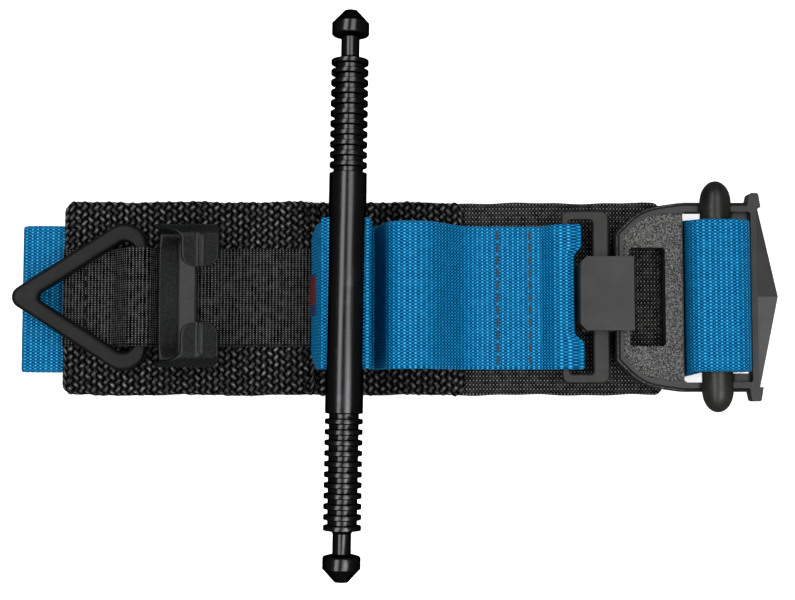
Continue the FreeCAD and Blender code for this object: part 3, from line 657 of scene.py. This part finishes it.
WRAP_LEFT = 77.35
WRAP_RIGHT = 92.1
WRAP_TOP = 24.5
wrap, length = strip("strap_wrap",
                     [(HINGE_X, UPPER_RUN), (WRAP_LEFT, UPPER_RUN, 5.3), (WRAP_LEFT, WRAP_TOP, 4.2),
                      (WRAP_RIGHT, WRAP_TOP, 5), (WRAP_RIGHT, LOWER_RUN, 5.6), (HINGE_X, LOWER_RUN)],
                     STRAP_WIDTH, STRAP_THICK, BLUE, 0.3, 0.3, relief=blue_relief)


def spread_out(points):
    """The wrap spreads a little where it is pressed through the slot."""
    x, y, z = points.T
    spread = ease_between(71.5, 75.5, x) * (1 - ease_between(77.5, 84, x))
    spread *= 1 - ease_between(9, 24, z)
    return np.stack((x, y * (1 + 0.06 * spread), z), axis=1)


reshape(wrap, spread_out)
bend_across(wrap, ["main_strap_bar_wrap"])

lower, length = strip("strap_lower", [(HINGE_X, LOWER_RUN), (TAIL_FROM, LOWER_RUN)], STRAP_WIDTH,
                      STRAP_THICK, BLUE, 0.6, 0.8)
bend_across(lower, [])

# the tail runs to and fro under the base, and its end is turned back on itself
TURN_LEFT = -82
TURN_RIGHT = 62
SECOND_RUN = 3.7
THIRD_RUN = 2.2
LAST_RUN = 0.72
END_START = 65.1
END_TURN = 74.0
END_TOP = 2.1
tail, length = strip("strap_tail",
                     [(TAIL_FROM, LOWER_RUN), (TURN_LEFT, LOWER_RUN, 0.75), (TURN_LEFT, SECOND_RUN, 0.75),
                      (TURN_RIGHT, SECOND_RUN, 0.75), (TURN_RIGHT, THIRD_RUN, 0.75),
                      (TURN_LEFT, THIRD_RUN, 0.75), (TURN_LEFT, LAST_RUN, 0.75), (END_START, LAST_RUN),
                      (END_TURN, LAST_RUN, 0.7), (END_TURN, END_TOP, 0.7), (END_START, END_TOP)],
                     STRAP_WIDTH, STRAP_THICK - 0.02, BLUE, 0.5, 0.9)
place_on(tail, "base", ["main_strap_tail", "strap_end_stop"])


# ---------------------------------------------------------------- stitches
def stitching(name, rows, material, node, long=2.2, gap=1.1, thick=0.3):
    """Rows of lock stitches across a tape. A row is its x, half its width, its level and the half
    width left clear in the middle, in millimetres. Each stitch rises from its hole and dips again."""
    ring = np.linspace(0, TAU, 9)[:-1]
    shares = np.linspace(0, 1, 9)
    co, faces, uvs = [], [], []
    for x, half, level, clear in rows:
        count = int((2 * half + gap) / (long + gap))
        first = -(count * (long + gap) - gap) / 2
        for c in range(count):
            y0 = first + c * (long + gap)
            if clear and abs(y0 + long / 2) < clear + long / 2:
                continue
            base = len(co)
            lean = 0.16 * math.sin(2.1 * c + x)
            for share in shares:
                radius = thick * math.sin(math.pi * (0.1 + 0.8 * share)) ** 0.4
                rise = level - 0.22 + 0.34 * math.sin(math.pi * share) ** 0.6
                cx = x + lean * (share - 0.5)
                for g in ring:
                    co.append((cx + radius * math.cos(g), y0 + long * share, rise + radius * math.sin(g)))
            for r in range(len(shares) - 1):
                for q in range(8):
                    a, b = base + r * 8 + q, base + r * 8 + (q + 1) % 8
                    faces.append((a, b, b + 8, a + 8))
                    s0, s1 = long * shares[r], long * shares[r + 1]
                    g0, g1 = q * thick * TAU / 8, (q + 1) * thick * TAU / 8
                    uvs += [(s0, g0), (s0, g1), (s1, g1), (s1, g0)]
            faces.append(tuple(base + q for q in reversed(range(8))))
            faces.append(tuple(base + 8 * (len(shares) - 1) + q for q in range(8)))
            uvs += [(0.0, 0.0)] * 16
    return place_on(new_piece(name, co, faces, material, uvs), "base", [node])


stitching("retainer_stitches", [(-85.4, 11.5, 14.4, 0), (-81.8, 11.5, 14.4, 0), (-29.8, 11.5, 14.4, 0)],
          BLACK_THREAD, "retainer_stitching", thick=0.4)
stitching("band_stitches", [(27.4, 18.2, 13.45, 0), (35.9, 18.2, 13.45, 0)], BROWN_THREAD,
          "band_stitching", long=2.8, gap=0.5)
stitching("anchor_stitches", [(-16, 18, 13.45, 0), (-12, 18, 13.45, 0)], BROWN_THREAD,
          "band_anchor_stitching")
stitching("cover_stitches", [(-23.3, 24.5, 13.4, 13.2)], BLACK_THREAD, "cover_stitching")
stitching("weave_stitches", [(17, 24.5, 12.0, 19.2)], BLACK_THREAD, "weave_stitching")
stitching("end_stitches", [(67.6, 18.5, 2.8, 0), (71.6, 18.5, 2.8, 0)], BLACK_THREAD,
          "strap_end_stitching")


# ---------------------------------------------------------------- moulded and turned parts
def dress(node, material, round_edges):
    """A CAD node in its real finish, its sharp edges eased."""
    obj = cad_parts[node]
    if not obj.material_slots:
        obj.data.materials.append(None)
    for place in obj.material_slots:
        place.link = "OBJECT"
        place.material = material
    weld = obj.modifiers.new("weld", "WELD")
    weld.merge_threshold = 1e-6
    ease = obj.modifiers.new("ease", "BEVEL")
    ease.width = round_edges * MM
    ease.segments = 3
    ease.limit_method = "ANGLE"
    ease.angle_limit = math.radians(32)
    ease.harden_normals = True
    return obj


def clip_shell():
    """The windlass clip: a thin moulded cradle bent up at both sides into round-tipped lips, and its
    foot under the tape. The sheet runs from one lip tip to the other, with its own width at each place."""
    low, high = box_of("windlass_clip")
    thick = 1.2
    floor_level, lip_level = 15.85, high[2] - thick / 2
    half = high[1] - thick / 2
    tip = 7.1
    line = centreline([(tip, lip_level), (half, lip_level, 3.6), (half, floor_level, 2.4),
                       (-half, floor_level, 2.4), (-half, lip_level, 3.6), (-tip, lip_level)])
    run = lengths_of(line)
    length = run[-1]
    ends = 3.6 * (1 - np.cos(np.radians(np.arange(0, 91, 7.5))))
    along = np.unique(np.round(np.concatenate((np.linspace(0, length, 240), ends, length - ends)), 4))
    place, ahead = walk(line, run, along, 0.3)
    depth = np.minimum(along, length - along)
    lip = half - tip
    wall = lip_level - floor_level
    left = low[0] + 7.3 * (1 - ease_between(lip - 3.4, lip + 2.2, depth))
    right = high[0] - 1.6 * ease_between(lip - 2, lip + 3, depth)
    right -= 5.4 * ease_between(lip + wall - 7.5, lip + wall + 0.5, depth)
    round_tip = 3.5
    to_full = round_tip - np.minimum(depth, round_tip)
    taken = round_tip - np.sqrt(np.maximum(0, round_tip ** 2 - to_full ** 2))
    left, right = left + taken, right - taken * 0.96
    edge = thick * 0.42
    across = np.linspace(0, 1, 25)
    rows = [(c, 1, 0.0) for c in across]
    rows += [(1, math.sin(g), math.cos(g)) for g in np.radians((55, 20, -20, -55))]
    rows += [(c, -1, 0.0) for c in across[::-1]]
    rows += [(0, -math.sin(g), -math.cos(g)) for g in np.radians((55, 20, -20, -55))]
    rows = np.array(rows)
    inset_left, inset_right = left + edge, right - edge
    x = inset_left[:, None] + (inset_right - inset_left)[:, None] * rows[:, 0] + edge * rows[:, 2]
    on_floor = ease_between(lip + wall - 2, lip + wall + 4, depth)[:, None]
    on_lip = (1 - ease_between(lip - 4, lip - 1, depth))[:, None]
    crease = np.where(x < -56.6, 0.3 - 0.14 * (x + 56.6), 0.3 + 0.1 * (x + 56.6)) * on_floor
    bead = 0.3 * np.exp(-((x + 49.4) / 0.45) ** 2) * on_lip
    h = rows[:, 1] * thick / 2
    y = place[:, :1] - ahead[:, 1:] * h
    z = place[:, 1:] + ahead[:, :1] * h + crease + bead
    n, m = x.shape
    co = np.stack((x, y, z), axis=2).reshape(-1, 3)
    faces = [(i * m + k, (i + 1) * m + k, (i + 1) * m + (k + 1) % m, i * m + (k + 1) % m)
             for i in range(n - 1) for k in range(m)]
    faces += [tuple(range(m)), tuple((n - 1) * m + k for k in reversed(range(m)))]
    points = co.tolist()
    foot_low, foot_high = low[2], floor_level - 0.2
    post = 14.0
    foot_line = centreline([(-post, foot_high), (-post, foot_low + 0.3, 0.7),
                            (post, foot_low + 0.3, 0.7), (post, foot_high)])
    base = len(points)
    foot_ahead = np.gradient(foot_line, axis=0)
    foot_ahead /= np.linalg.norm(foot_ahead, axis=1)[:, None]
    for (py, pz), (ty, tz) in zip(foot_line, foot_ahead):
        for px, ph in ((low[0] + 0.3, 0.3), (-51.9, 0.3), (-51.9, -0.3), (low[0] + 0.3, -0.3)):
            points.append((px, py - tz * ph, pz + ty * ph))
    for i in range(len(foot_line) - 1):
        for k in range(4):
            a, b = base + i * 4 + k, base + i * 4 + (k + 1) % 4
            faces.append((a, a + 4, b + 4, b))
    faces += [tuple(base + k for k in range(4)),
              tuple(base + 4 * (len(foot_line) - 1) + k for k in reversed(range(4)))]
    obj = new_piece("clip_shell", points, faces, CLIP_PLASTIC)
    fixed = bmesh.new()
    fixed.from_mesh(obj.data)
    bmesh.ops.recalc_face_normals(fixed, faces=fixed.faces)
    fixed.to_mesh(obj.data)
    fixed.free()
    return place_on(obj, "base", ["windlass_clip"])


clip_shell()
dress("windlass", ROD, 0.15)
dress("tri_ring", TRI_PLASTIC, 0.5)
dress("receiver_ring", RING_PLASTIC, 0.4)
dress("buckle_frame", BUCKLE_PLASTIC, 0.25)
dress("slide_bar", BAR_PLASTIC, 0.3)

# ---------------------------------------------------------------- floor, lights and camera
SPAN = 4.0
floor_mesh = bpy.data.meshes.new("floor")
floor_mesh.from_pydata([(-SPAN, -SPAN, 0), (SPAN, -SPAN, 0), (SPAN, SPAN, 0), (-SPAN, SPAN, 0)], [],
                       [(0, 1, 2, 3)])
floor = bpy.data.objects.new("floor", floor_mesh)
scene.collection.objects.link(floor)
floor_look = Shader("floor")
floor_look.finish(Base_Color=(0.95, 0.95, 0.95, 1), Roughness=0.9, Specular_IOR_Level=0.0,
                  Emission_Color=(1, 1, 1, 1), Emission_Strength=0.4)
floor_mesh.materials.append(floor_look.material)
floor.visible_glossy = False

world = bpy.data.worlds.new("studio")
world.use_nodes = True
world.node_tree.nodes["Background"].inputs[0].default_value = (1, 1, 1, 1)
world.node_tree.nodes["Background"].inputs[1].default_value = 0.1
scene.world = world


def softbox(name, place, aim, wide, tall, brightness, glossy=True):
    """A rectangular light of that brightness, facing aim. Metres."""
    data = bpy.data.lights.new(name, "AREA")
    data.shape = "RECTANGLE"
    data.size, data.size_y = wide, tall
    data.energy = brightness * math.pi * wide * tall
    obj = bpy.data.objects.new(name, data)
    scene.collection.objects.link(obj)
    obj.location = place
    away = Vector([p - a for p, a in zip(place, aim)])
    obj.rotation_euler = away.to_track_quat("Z", "X").to_euler()
    obj.visible_glossy = glossy
    obj.visible_camera = False
    return obj


ROD_AT = (-0.012, 0, 0.033)
softbox("left_strip", (-0.277, 0, 0.53), ROD_AT, 0.21, 1.2, 5.2)
softbox("right_strip", (0.145, 0, 0.53), ROD_AT, 0.2, 1.2, 4.0)
softbox("near_box", (0.28, -0.17, 0.5), (0.09, 0, 0.02), 0.2, 0.2, 6.0)
softbox("ceiling", (0, 0, 1.3), (0, 0, 0), 2.0, 2.0, 0.3, glossy=False)

camera_data = bpy.data.cameras.new("camera")
camera_data.lens = 61.13
camera_data.sensor_width = 36
camera = bpy.data.objects.new("camera", camera_data)
scene.collection.objects.link(camera)
camera.location = (0.0009, -0.0243, 0.3704)
camera.rotation_euler = (math.radians(3.8), 0, 0)
scene.camera = camera
scene.view_settings.view_transform = "Standard"
